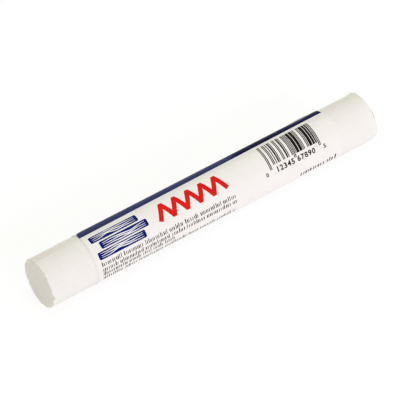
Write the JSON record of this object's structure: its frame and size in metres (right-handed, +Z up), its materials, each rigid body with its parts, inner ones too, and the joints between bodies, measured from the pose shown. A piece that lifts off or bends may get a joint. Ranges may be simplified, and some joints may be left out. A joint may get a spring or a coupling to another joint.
{
  "type": "furniture repair wax stick",
  "caption": "Round stick of soft white filling wax, bare at both ends, in a printed film wrap with a lapped and bonded seam that slides along the wax as it wears down.",
  "frame": {"origin": "on the surface that the stick lies on, under the middle of its length and its axis", "axes": "+X along the stick from the front end to the butt end, +Z up, -Y towards the side that is printed to be read"},
  "size_m": [0.1188, 0.0158, 0.0159],
  "materials": {
    "wax": "soft white filling wax, satin",
    "label_film": "white printed film, semi-gloss",
    "adhesive": "thin clear amber adhesive"
  },
  "bodies": {
    "stick": {"wax_stick": "wax"},
    "sleeve": {"label_wrap": "label_film", "seam_adhesive": "adhesive"}
  },
  "joints": [
    {"name": "label_slide", "type": "slide", "parent": "stick", "child": "sleeve", "axis": [1, 0, 0], "range_m": [-0.016, 0.0104]}
  ]
}
